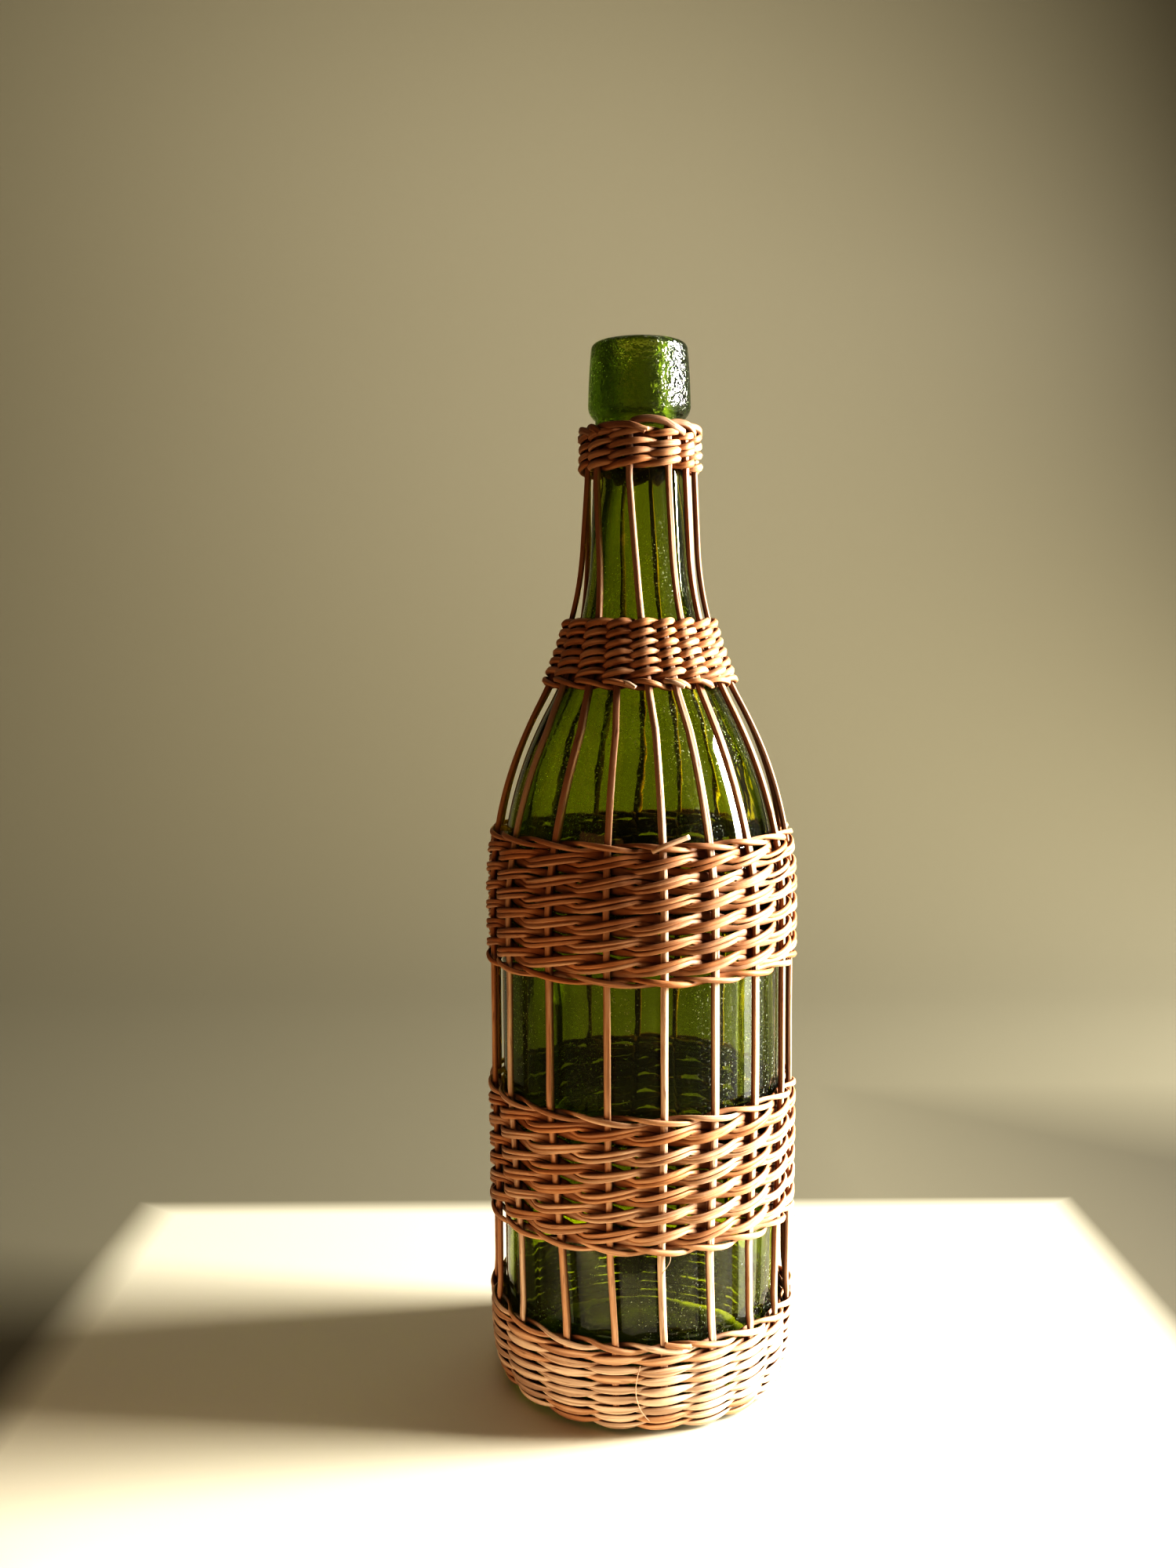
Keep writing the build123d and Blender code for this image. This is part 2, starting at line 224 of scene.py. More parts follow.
class Cover:
    """Where the glass wall is at each height, and where a point of the cover lies on it."""

    def __init__(self, scene):
        self.glass = glass = scene.wicker_bottle
        self.cane = scene.wicker_cane
        self.shoulder_centre = glass.body_radius - glass.shoulder_round
        both = glass.shoulder_round + glass.neck_sweep
        inward = (self.shoulder_centre - glass.neck_radius) * cos(glass.neck_taper)
        upward = (glass.shoulder_level - glass.lip_level) * sin(glass.neck_taper)
        self.turn = glass.neck_taper + acos((glass.neck_sweep - inward - upward) / both)
        self.sweep_centre = self.shoulder_centre + both * cos(self.turn)
        self.sweep_level = glass.shoulder_level + both * sin(self.turn)
        stops = (
            (BASE_STAKE_LEVEL, BASE_AZIMUTHS),
            (LOWER_STAKE_LEVEL, LOWER_AZIMUTHS),
            (BODY_STAKE_LEVEL, BODY_AZIMUTHS),
            (glass.shoulder_level, BODY_AZIMUTHS),
            (SHOULDER_STAKE_LEVEL, SHOULDER_AZIMUTHS),
            (STAKE_TOP_LEVEL, TOP_AZIMUTHS),
        )
        self.rings = [(level, round_the_back(front, STAKE_COUNT)) for level, front in stops]
        self.neck_ring = round_the_back(NECK_AZIMUTHS, NECK_STAKE_COUNT)

    def wall(self, level, off):
        """Radius and outward tilt, at a height, of the line that lies off outside the glass."""
        g = self.glass
        if level < g.heel_rise:
            half_wide = g.heel_depth + off
            half_high = g.heel_rise + off
            drop = min(LOWEST_DROP_SHARE, (g.heel_rise - level) / half_high)
            radius = g.body_radius - g.heel_depth + half_wide * sqrt(1 - drop**2)
            return radius, -atan2(drop / half_high, sqrt(1 - drop**2) / half_wide)
        if level < g.shoulder_level:
            return g.body_radius + off, 0.0
        if level < g.shoulder_level + (g.shoulder_round + off) * sin(self.turn):
            tilt = asin((level - g.shoulder_level) / (g.shoulder_round + off))
            return self.shoulder_centre + (g.shoulder_round + off) * cos(tilt), tilt
        if level < self.sweep_level - (g.neck_sweep - off) * sin(g.neck_taper):
            tilt = asin((self.sweep_level - level) / (g.neck_sweep - off))
            return self.sweep_centre - (g.neck_sweep - off) * cos(tilt), tilt
        taper = g.neck_taper
        return g.neck_radius + (g.lip_level - level) * tan(taper) + off / cos(taper), taper

    def place(self, level, azimuth, out, up=0.0):
        """A point of the cover and the outward direction there.

        Out is square to the glass, and up is along it.
        """
        radius, tilt = self.wall(level, self.cane.stand_off)
        radius += out * cos(tilt) - up * sin(tilt)
        turn = radians(azimuth)
        point = Vector((radius * sin(turn), -radius * cos(turn), level + out * sin(tilt) + up * cos(tilt)))
        return point, Vector((cos(tilt) * sin(turn), -cos(tilt) * cos(turn), sin(tilt)))

    def stake_azimuth(self, number, level):
        """Where a stake stands at a height: it leans a little from one band to the next."""
        stops = [(stop, ring[number]) for stop, ring in self.rings]
        if number in NECK_STAKES:
            stops.append((NECK_STAKE_LEVEL, self.neck_ring[NECK_STAKES.index(number)]))
        if level <= stops[0][0]:
            return stops[0][1]
        for (low, first), (high, last) in zip(stops, stops[1:]):
            if level < high:
                return first + (last - first) * (level - low) / (high - low)
        return stops[-1][1]

    def climb(self, level, pitch, count):
        """Heights of rows that lie a pitch apart, measured along the glass."""
        levels = [level]
        for _ in range(count - 1):
            _, tilt = self.wall(levels[-1] + pitch / 2, self.cane.stand_off)
            levels.append(levels[-1] + pitch * cos(tilt))
        return levels


def round_the_back(front, count):
    """All azimuths of a ring of stakes, from those at the front."""
    gap = 360 + front[0] - front[-1]
    spare = count - len(front)
    return list(front) + [front[-1] + gap * (k + 1) / (spare + 1) for k in range(spare)]


def waver(*at):
    """A smooth uneven value from about -1 to 1 that is the same on each run.

    The factors in at say how fast it varies, and the last number keeps one unevenness apart from another.
    """
    return noise.noise(Vector(at))


def blend_between(a, b, share):
    """The value that lies a share of the way from a to b."""
    return a + (b - a) * share


def smooth_run(stops, per_span):
    """A smooth line through a run of stops, each a tuple of numbers."""

    def between(p, q, r, s, t):
        bend = 2 * p - 5 * q + 4 * r - s
        twist = 3 * q - p - 3 * r + s
        return 0.5 * (2 * q + (r - p) * t + bend * t**2 + twist * t**3)

    ends = [stops[0]] + list(stops) + [stops[-1]]
    line = []
    for spans in zip(ends, ends[1:], ends[2:], ends[3:]):
        for k in range(per_span):
            line.append(tuple(between(*values, k / per_span) for values in zip(*spans)))
    return line + [tuple(stops[-1])]


def new_cane_mesh():
    """An empty mesh with the layers that the cane's finish reads."""
    bm = bmesh.new()
    bm.loops.layers.uv.new("cane")
    bm.verts.layers.float.new("tint")
    bm.verts.layers.float.new("painted_light")
    return bm


def lay_cane(bm, places, half_wide, half_deep, seed, squareness=0.0, shown=None):
    """One cane along places, each a point and the outward direction there. Its skin has a few low ridges.

    Squareness is the share by which its section's corners stand out. Shown is how far each place lies in
    the open, from 0 to 1, and is 1 all along where it isn't given. The finish paints shade where it is low,
    and on the section's inner side.
    """
    points = [p for p, _ in places]
    last = len(points) - 1
    ways = [(points[min(i + 1, last)] - points[max(i - 1, 0)]).normalized() for i in range(last + 1)]
    sides = [way.cross(out).normalized() for way, (_, out) in zip(ways, places)]
    outs = [side.cross(way) for side, way in zip(sides, ways)]
    run = [0.0]
    for a, b in zip(points, points[1:]):
        run.append(run[-1] + (b - a).length)
    draw = random.Random(seed)
    tint = draw.random()
    ridges = draw.choice((4, 5))
    phase = draw.uniform(0, 2 * pi)
    girth = pi * (half_wide[last // 2] + half_deep[last // 2])
    uv = bm.loops.layers.uv["cane"]
    tints = bm.verts.layers.float["tint"]
    painted_light_layer = bm.verts.layers.float["painted_light"]
    verts = bmesh.ops.create_grid(bm, x_segments=last, y_segments=SIDES, size=1, calc_uvs=True)["verts"]
    faces = {f for v in verts for f in v.link_faces}
    for face in faces:
        face.smooth = True
        for loop in face.loops:
            along, about = loop[uv].uv
            loop[uv].uv = run[round(along * last)] + tint, about * girth
    for v in verts:
        i = round((v.co.x + 1) / 2 * last)
        angle = (v.co.y + 1) * pi
        ripple = 1 + RIDGE_SHARE * cos(ridges * angle + phase) - squareness * cos(4 * angle)
        wide = sides[i] * (half_wide[i] * cos(angle) * ripple)
        deep = outs[i] * (half_deep[i] * sin(angle) * ripple)
        v.co = points[i] + wide + deep
        v[tints] = tint
        # Painted shade: the finish darkens the section's inner side and places hidden behind a stake.
        v[painted_light_layer] = (0.5 + 0.5 * sin(angle)) * (shown[i] if shown else 1.0)
    bmesh.ops.remove_doubles(bm, verts=verts, dist=MERGE_DISTANCE)
    rims = [e for e in bm.edges if e.is_boundary]
    bmesh.ops.holes_fill(bm, edges=rims, sides=0)


def make_piece(name, bm, material, slot, *replaced):
    """Makes a finished mesh a piece that rides on the bottle and stands for its nodes."""
    bmesh.ops.recalc_face_normals(bm, faces=bm.faces)
    mesh = bpy.data.meshes.new(name)
    bm.to_mesh(mesh)
    bm.free()
    mesh.materials.append(material)
    piece = bpy.data.objects.new(name, mesh)
    bpy.context.scene.collection.objects.link(piece)
    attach(piece, "root")
    if replaced:
        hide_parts(*replaced)


def shader(tree, kind, sockets=(), **settings):
    """A shader node with its settings, and its sockets set or linked."""
    made = tree.nodes.new("ShaderNode" + kind)
    for key, value in settings.items():
        setattr(made, key, value)
    for key, value in dict(sockets).items():
        if isinstance(value, bpy.types.NodeSocket):
            tree.links.new(value, made.inputs[key])
        else:
            made.inputs[key].default_value = value
    return made


def mixed(tree, share, first, second):
    """Two colours mixed by a share. A Mix node's colours are its inputs 6 and 7 and its output 2."""
    made = shader(tree, "Mix", {"Factor": share}, data_type="RGBA")
    for place, value in ((6, first), (7, second)):
        if isinstance(value, bpy.types.NodeSocket):
            tree.links.new(value, made.inputs[place])
        else:
            made.inputs[place].default_value = (*value, 1.0)
    return made.outputs[2]


def sum_of(tree, operation, first, second):
    """A sum, product or the like of two values."""
    return shader(tree, "Math", {0: first, 1: second}, operation=operation).outputs[0]


def spread(tree, value, low, high, new_low=0.0, new_high=1.0):
    """A value brought from one range to another and kept inside it."""
    sockets = {"Value": value, "From Min": low, "From Max": high, "To Min": new_low, "To Max": new_high}
    return shader(tree, "MapRange", sockets).outputs["Result"]


def new_group(name, inputs, outputs):
    """An empty shader group with its sockets, each a name and a kind."""
    group = bpy.data.node_groups.new(name, "ShaderNodeTree")
    for label, kind in inputs:
        group.interface.new_socket(label, in_out="INPUT", socket_type="NodeSocket" + kind)
    for label, kind in outputs:
        group.interface.new_socket(label, in_out="OUTPUT", socket_type="NodeSocket" + kind)
    return group, group.nodes.new("NodeGroupInput"), group.nodes.new("NodeGroupOutput")


def cane_grain():
    """Fine fibres that run along a cane, and darker flecks.

    Its vector is in metres along and round the cane.
    """
    if "cane_grain" in bpy.data.node_groups:
        return bpy.data.node_groups["cane_grain"]
    inputs = [("Vector", "Vector"), ("Fibre Scale", "Float"), ("Fleck Amount", "Float")]
    outputs = [("Fibre", "Float"), ("Streak", "Float"), ("Fleck", "Float"), ("Height", "Float")]
    group, given, result = new_group("cane_grain", inputs, outputs)
    stretched = shader(group, "VectorMath", {0: given.outputs["Vector"], 1: (0.035, 1.0, 1.0)},
                       operation="MULTIPLY").outputs[0]
    fibre = shader(group, "TexNoise", {"Vector": stretched, "Scale": given.outputs["Fibre Scale"],
                                       "Detail": 5.0, "Roughness": 0.62}).outputs["Fac"]
    broad = sum_of(group, "MULTIPLY", given.outputs["Fibre Scale"], 0.4)
    streak = shader(group, "TexNoise", {"Vector": stretched, "Scale": broad, "Detail": 1.5}).outputs["Fac"]
    short = shader(group, "VectorMath", {0: given.outputs["Vector"], 1: (0.16, 1.0, 1.0)},
                   operation="MULTIPLY").outputs[0]
    spots = shader(group, "TexNoise", {"Vector": short, "Scale": 900.0, "Detail": 2.0}).outputs["Fac"]
    fleck = sum_of(group, "MULTIPLY", spread(group, spots, 0.62, 0.74), given.outputs["Fleck Amount"])
    group.links.new(spread(group, fibre, 0.32, 0.68), result.inputs["Fibre"])
    group.links.new(spread(group, streak, 0.40, 0.60), result.inputs["Streak"])
    group.links.new(fleck, result.inputs["Fleck"])
    group.links.new(sum_of(group, "SUBTRACT", fibre, fleck), result.inputs["Height"])
    return group


def blotches():
    """Large soft patches, for the ageing of the cane and the dust on the glass."""
    if "blotches" in bpy.data.node_groups:
        return bpy.data.node_groups["blotches"]
    group, given, result = new_group("blotches", [("Vector", "Vector"), ("Scale", "Float")],
                                     [("Patch", "Float"), ("Speckle", "Float")])
    broad = shader(group, "TexNoise", {"Vector": given.outputs["Vector"], "Scale": given.outputs["Scale"],
                                       "Detail": 4.0, "Roughness": 0.6}).outputs["Fac"]
    fine = sum_of(group, "MULTIPLY", given.outputs["Scale"], 60.0)
    specks = shader(group, "TexNoise", {"Vector": given.outputs["Vector"], "Scale": fine,
                                        "Detail": 2.0}).outputs["Fac"]
    group.links.new(spread(group, broad, 0.38, 0.66), result.inputs["Patch"])
    group.links.new(spread(group, specks, 0.60, 0.72), result.inputs["Speckle"])
    return group


def new_material(name):
    """An empty material and its output node."""
    material = bpy.data.materials.new(name)
    material.use_nodes = True
    material.node_tree.nodes.clear()
    return material, material.node_tree, material.node_tree.nodes.new("ShaderNodeOutputMaterial")


# The upright canes get browner between these two heights, as painted shade towards the top.
UPRIGHT_SHADE_LEVELS = (80 * MM, 220 * MM)


def cane_finish(name, pale_share, brown_share, top_shade_share=0.0):
    """Split cane: straw to tan, with brown painted shade on its inner side, fine fibres and a low sheen.

    Where it has a share of brown at the top, the cane is also browner the higher up it is, as painted
    shade.
    """
    if name in bpy.data.materials:
        return bpy.data.materials[name]
    colours = bpy.context.scene.wicker_finish
    material, tree, output = new_material(name)
    uv = shader(tree, "UVMap", uv_map="cane").outputs["UV"]
    own = shader(tree, "TexCoord").outputs["Object"]
    tint = shader(tree, "Attribute", attribute_name="tint").outputs["Fac"]
    painted_light = shader(tree, "Attribute", attribute_name="painted_light").outputs["Fac"]
    grain = shader(tree, "Group", node_tree=cane_grain())
    tree.links.new(uv, grain.inputs["Vector"])
    grain.inputs["Fibre Scale"].default_value = 2400.0
    grain.inputs["Fleck Amount"].default_value = 0.7
    patch = shader(tree, "Group", node_tree=blotches())
    tree.links.new(own, patch.inputs["Vector"])
    patch.inputs["Scale"].default_value = 38.0
    paleness = sum_of(tree, "MULTIPLY", spread(tree, tint, 0.0, 1.0, 0.15, 1.0), pale_share)
    paleness = sum_of(tree, "MULTIPLY", paleness, spread(tree, grain.outputs["Fibre"], 0, 1, 0.3, 1.0))
    skin = mixed(tree, paleness, colours.cane_tan, colours.cane_pale)
    aged_and_shaded = sum_of(tree, "MULTIPLY", patch.outputs["Patch"], brown_share)
    aged_and_shaded = sum_of(tree, "MAXIMUM", aged_and_shaded, spread(tree, grain.outputs["Streak"], 1, 0, 0.0, 0.5))
    height = shader(tree, "SeparateXYZ", {0: own}).outputs["Z"]
    # Painted shade: the uprights get browner higher up the bottle.
    aged_and_shaded = sum_of(tree, "MAXIMUM", aged_and_shaded, spread(tree, height, *UPRIGHT_SHADE_LEVELS, 0.0, top_shade_share))
    # Painted shade in brown on the cane's inner side and where it is hidden behind a stake
    painted_shade = spread(tree, painted_light, 0.86, 0.36, 0.0, 0.9)
    aged_and_shaded = sum_of(tree, "MAXIMUM", aged_and_shaded, painted_shade)
    skin = mixed(tree, aged_and_shaded, skin, colours.cane_brown)
    skin = mixed(tree, sum_of(tree, "MULTIPLY", grain.outputs["Fleck"], 0.6), skin, colours.cane_brown)
    rough = spread(tree, grain.outputs["Fibre"], 0, 1, 0.58, 0.40)
    bump = shader(tree, "Bump", {"Height": grain.outputs["Height"], "Strength": 0.7, "Distance": 0.16 * MM})
    body = shader(tree, "BsdfPrincipled", {"Base Color": skin, "Roughness": rough,
                                           "Normal": bump.outputs["Normal"]})
    body.inputs["Specular IOR Level"].default_value = 0.3
    tree.links.new(body.outputs["BSDF"], output.inputs["Surface"])
    return material


# The glass gets deeper in colour from the first height to the second, by a share.
DEEPER_LEVELS = ((155 * MM, 140 * MM, 0.14), (190 * MM, 235 * MM, 0.12), (295 * MM, 300 * MM, 0.3))
LIP_FADE = 2 * MM


def glass_finish():
    """Bottle glass: clear green, uneven in depth, with a pebbled lip and a little dust.

    Shadow rays pass straight through it, so that it throws a green shadow and not a black one.
    """
    if "green_glass" in bpy.data.materials:
        return bpy.data.materials["green_glass"]
    colours = bpy.context.scene.wicker_finish
    sizes = bpy.context.scene.wicker_bottle
    material, tree, output = new_material("green_glass")
    own = shader(tree, "TexCoord").outputs["Object"]
    height = shader(tree, "SeparateXYZ", {0: own}).outputs["Z"]
    patch = shader(tree, "Group", node_tree=blotches())
    tree.links.new(own, patch.inputs["Vector"])
    patch.inputs["Scale"].default_value = 24.0
    lip = spread(tree, height, sizes.lip_level - LIP_FADE, sizes.lip_level + LIP_FADE)
    streaks = shader(tree, "VectorMath", {0: own, 1: (1.0, 1.0, 0.18)}, operation="MULTIPLY").outputs[0]
    depth = shader(tree, "TexNoise", {"Vector": streaks, "Scale": 45.0, "Detail": 3.0}).outputs["Fac"]
    slope = shader(tree, "LayerWeight", {"Blend": 0.5}).outputs["Facing"]
    thick = sum_of(tree, "ADD", spread(tree, depth, 0.35, 0.65, 0.0, 0.3), spread(tree, slope, 0.35, 0.95))
    for start, end, share in DEEPER_LEVELS:
        thick = sum_of(tree, "ADD", thick, spread(tree, height, start, end, 0.0, share))
    lip_edge = sum_of(tree, "MULTIPLY", lip, slope)
    thick = sum_of(tree, "ADD", thick, spread(tree, lip_edge, 0.1, 0.45))
    green = mixed(tree, thick, colours.glass, colours.glass_deep)
    dust = sum_of(tree, "MULTIPLY", patch.outputs["Patch"], patch.outputs["Speckle"])
    rough = spread(tree, dust, 0, 1, 0.015, 0.55)
    rough = sum_of(tree, "MAXIMUM", rough, sum_of(tree, "MULTIPLY", lip, 0.14))
    pebbles = shader(tree, "TexNoise", {"Vector": own, "Scale": 700.0, "Detail": 2.0}).outputs["Fac"]
    swell = shader(tree, "TexNoise", {"Vector": streaks, "Scale": 130.0, "Detail": 2.0}).outputs["Fac"]
    pebbles = sum_of(tree, "MULTIPLY", pebbles, spread(tree, lip, 0, 1, 0.03, 6.0))
    relief = sum_of(tree, "ADD", pebbles, swell)
    bump = shader(tree, "Bump", {"Height": relief, "Strength": 0.5, "Distance": 0.25 * MM})
    body = shader(tree, "BsdfPrincipled", {"Base Color": green, "Roughness": rough,
                                           "Normal": bump.outputs["Normal"]})
    body.inputs["Transmission Weight"].default_value = 1.0
    body.inputs["IOR"].default_value = 1.52
    light_through = shader(tree, "BsdfTransparent", {"Color": (*colours.glass_deep, 1.0)})
    film = shader(tree, "BsdfDiffuse", {"Color": (0.75, 0.78, 0.68, 1.0)})
    haze = spread(tree, dust, 0, 1, 0.012, 0.4)
    dusty = shader(tree, "MixShader", {0: haze, 1: body.outputs["BSDF"], 2: film.outputs["BSDF"]})
    shadow = shader(tree, "LightPath").outputs["Is Shadow Ray"]
    either = shader(tree, "MixShader", {0: shadow, 1: dusty.outputs["Shader"],
                                        2: light_through.outputs["BSDF"]})
    tree.links.new(either.outputs["Shader"], output.inputs["Surface"])
    return material


def arc(centre, radius, start, end, count):
    """Points of radius and height along an arc, between two turns measured up from outwards."""
    turns = [blend_between(start, end, k / count) for k in range(count + 1)]
    return [(centre[0] + radius[0] * cos(t), centre[1] + radius[1] * sin(t)) for t in turns]


def bowed(start, end, bow, count):
    """Points from start to end on a shallow curve that stands off its chord by bow."""
    way = Vector(end) - Vector(start)
    side = Vector((way.y, -way.x)).normalized()
    shares = [k / count for k in range(count + 1)]
    return [tuple(Vector(start) + way * s + side * (4 * bow * s * (1 - s))) for s in shares]


# How far the lip's side and the widening under the bore bow away from straight
LIP_SIDE_BOW = 0.15 * MM
BORE_FOOT_BOW = 0.2 * MM


def glass_profile(cover):
    """The glass's closed outline of radius and height, from the middle of the base round to the inside."""
    g = cover.glass
    top = GLASS_TOP
    dome = (g.punt_radius**2 + g.punt_height**2) / (2 * g.punt_height)
    dome_turn = atan2(dome - g.punt_height, g.punt_radius)
    ring = g.body_radius - g.heel_depth
    levels = [blend_between(g.heel_rise, g.lip_level, k / BODY_STEPS) for k in range(1, BODY_STEPS)]
    outside = arc((0, g.punt_height - dome), (dome, dome), pi / 2, dome_turn, PUNT_STEPS)
    outside += arc((ring, g.heel_rise), (g.heel_depth, g.heel_rise), -pi / 2, 0, HEEL_STEPS)
    outside += [(cover.wall(level, 0)[0], level) for level in levels]
    lip_side = (g.lip_radius, g.lip_level + g.lip_rise)
    outside += bowed((g.neck_radius, g.lip_level), lip_side, g.lip_belly, LIP_STEPS)
    side_top = (g.lip_top_radius, top - g.lip_round)
    outside += bowed(lip_side, side_top, LIP_SIDE_BOW, LIP_SIDE_STEPS)[1:]
    corner = (g.lip_top_radius - g.lip_round, top - g.lip_round)
    outside += arc(corner, (g.lip_round, g.lip_round), 0, pi / 2, LIP_STEPS)[1:]
    mouth = (g.bore_radius + g.mouth_round, top - g.mouth_round)
    inside = arc(mouth, (g.mouth_round, g.mouth_round), pi / 2, pi, MOUTH_STEPS)
    sweep_end = cover.sweep_level - (g.neck_sweep + g.wall) * sin(g.neck_taper)
    bore_foot = (g.bore_radius, top - g.bore_length)
    sweep_radius, _ = cover.wall(sweep_end, -g.wall)
    inside += bowed(inside[-1], bore_foot, 0, BORE_STEPS)[1:]
    inside += bowed(bore_foot, (sweep_radius, sweep_end), -BORE_FOOT_BOW, BORE_FOOT_STEPS)[1:]
    downs = [blend_between(sweep_end, g.heel_rise, k / BODY_STEPS) for k in range(1, BODY_STEPS)]
    inside += [(cover.wall(level, -g.wall)[0], level) for level in downs]
    inner = (g.heel_depth - g.wall, g.heel_rise - g.base_thickness)
    inside += arc((ring, g.heel_rise), inner, 0, -pi / 2, INNER_HEEL_STEPS)
    floor_dome = (0, g.punt_height + g.base_thickness - dome)
    inside += arc(floor_dome, (dome, dome), dome_turn, pi / 2, PUNT_STEPS)
    return outside, inside


class BOTTLE_OT_glass(bpy.types.Operator):
    """Blow the bottle: one wall of green glass with a punt, a bore and a thick lip"""

    bl_idname = "wicker.glass"
    bl_label = "Glass bottle"

    def execute(self, context):
        cover = Cover(context.scene)
        outside, inside = glass_profile(cover)
        bm = bmesh.new()
        skin = bm.verts.layers.int.new("inside")
        verts = []
        for k, (radius, level) in enumerate(outside + inside):
            vert = bm.verts.new((radius, 0, level))
            vert[skin] = k >= len(outside)
            verts.append(vert)
        edges = [bm.edges.new(pair) for pair in zip(verts, verts[1:])]
        bmesh.ops.spin(bm, geom=verts + edges, axis=(0, 0, 1), cent=(0, 0, 0), steps=SPIN_STEPS,
                       angle=2 * pi, use_merge=True)
        bmesh.ops.remove_doubles(bm, verts=bm.verts, dist=MERGE_DISTANCE)
        for vert in bm.verts:
            x, y, z = vert.co
            outwards = Vector((x, y, 0)).normalized()
            if vert[skin]:
                uneven = cover.glass.inner_waviness * (0.5 + waver(x * 60, y * 60, z * 22 + 5))
            else:
                uneven = cover.glass.waviness * (0.5 + 0.5 * waver(x * 70, y * 70, z * 25))
            if cover.glass.heel_rise < z < cover.glass.lip_level:
                vert.co -= outwards * uneven
        for face in bm.faces:
            face.smooth = True
        make_piece("glass", bm, glass_finish(), "glass", "glass_bottle")
        return {"FINISHED"}


def stake_places(cover, number):
    """The line of one stake from the foot up, and over into the border where it reaches the collar."""
    reaches_neck = number in NECK_STAKES
    top = COLLAR_TOP_LEVEL if reaches_neck else STAKE_TOP_LEVEL
    count = round((top - STAKE_FOOT_LEVEL) / STAKE_STEP)
    stops = []
    for k in range(count + 1):
        level = blend_between(STAKE_FOOT_LEVEL, top, k / count)
        sway = STAKE_SWAY * waver(level * 28, number * 3.7, 0.5)
        lean = STAKE_LEAN * waver(level * 40, number * 5.1, 8.5)
        lean += BASE_SET_OUT * min(max((BASE_STAKE_LEVEL - level) / BASE_SET_OUT_RUN + 1, 0.0), 1.0)
        stops.append((level, cover.stake_azimuth(number, level) + sway, lean))
    if reaches_neck:
        stops += border_stops(cover, NECK_STAKES.index(number))
    return [cover.place(level, azimuth, out) for level, azimuth, out in stops]


# How high the border's arches stand above the collar, from the left of the front round to the right, how
# far they lean out as they start, and how far above and below the collar's top their ends go
BORDER_RISES = [rise * MM for rise in (0.9, 0.9, 2.4, 1.7, 1.2, 0.9, 0.8, 1.0, 0.8, 0.9)]
BORDER_LEAN = 0.1 * MM
BORDER_LANDING = 0.2 * MM
BORDER_TUCK = 1.2 * MM


def border_stops(cover, place):
    """How a neck stake bends over to the right, past the next one, and down outside it.

    The stops are given as shares of the way to the next stake and of the arch's height.
    """
    azimuth = cover.neck_ring[place]
    span = (cover.neck_ring[(place + 1) % NECK_STAKE_COUNT] - azimuth) % 360
    crown = COLLAR_TOP_LEVEL + BORDER_RISES[place]
    outer = cover.cane.stake_depth
    stops = [
        (COLLAR_TOP_LEVEL, azimuth, 0.0),
        (blend_between(COLLAR_TOP_LEVEL, crown, 0.75), azimuth + 0.12 * span, BORDER_LEAN),
        (crown, azimuth + 0.45 * span, 0.3 * outer),
        (blend_between(COLLAR_TOP_LEVEL, crown, 0.7), azimuth + 0.82 * span, 0.8 * outer),
        (COLLAR_TOP_LEVEL + BORDER_LANDING, azimuth + 1.08 * span, outer),
        (COLLAR_TOP_LEVEL - BORDER_TUCK, azimuth + 1.4 * span, 0.75 * outer),
    ]
    return smooth_run(stops, BORDER_STEPS)[1:]


# Each finish has a name, how pale its skin is and a share of brown; the uprights also have a share of brown
# at their top, which is painted shade. The bands are paler near the foot and darker higher up, also as
# painted shade.
UPRIGHT_CANE = ("upright_cane", 1.9, 0.3, 0.6)
PALEST_CANE = ("palest_cane", 3.0, 0.1)
HALF_SHADED_CANE = ("half_shaded_cane", 1.0, 0.35)
SHADED_CANE = ("shaded_cane", 0.75, 0.6)


class BOTTLE_OT_stakes(bpy.types.Operator):
    """Set the eighteen upright canes, ten of which go up the neck and bend over into the border"""

    bl_idname = "wicker.stakes"
    bl_label = "Stakes"

    def execute(self, context):
        cover = Cover(context.scene)
        cane = context.scene.wicker_cane
        for number in range(STAKE_COUNT):
            places = stake_places(cover, number)
            wide, deep = [], []
            for point, _ in places:
                thin = NECK_THINNESS_SHARE if STAKE_TOP_LEVEL < point.z < COLLAR_LEVEL else 1.0
                swell = thin * (1 + STAKE_SWELL_SHARE * waver(point.z * 45, number * 2.3, 1.5))
                pressed = BASE_PRESS_SHARE if point.z < BASE_STAKE_LEVEL else 1.0
                wide.append(cane.stake_width / 2 * swell)
                deep.append(cane.stake_depth / 2 * swell * pressed)
            bm = new_cane_mesh()
            lay_cane(bm, places, wide, deep, number + 1, STAKE_SQUARENESS_SHARE)
            finish = cane_finish(*UPRIGHT_CANE)
            make_piece(f"upright_{number + 1:02d}", bm, finish, "stake_cane", f"stake_{number + 1:02d}")
        return {"FINISHED"}


@dataclass
class Weave:
    """How one kind of row is woven: its canes' width over a stake, at a crossing and behind a stake.

    Deep is their thickness, lift how far a crossing parts them, lines how many run side by side, and twist
    which way they turn. Press is the share of the full stand-off that a tight row keeps, set_out is how far
    outwards it sits, and loose is how much it strays.
    """

    wide: float
    narrow: float
    inner: float
    deep: float
    lift: float
    lines: int = 1
    twist: int = 1
    press: float = 1.0
    set_out: float = 0.0
    loose: float = 1.0


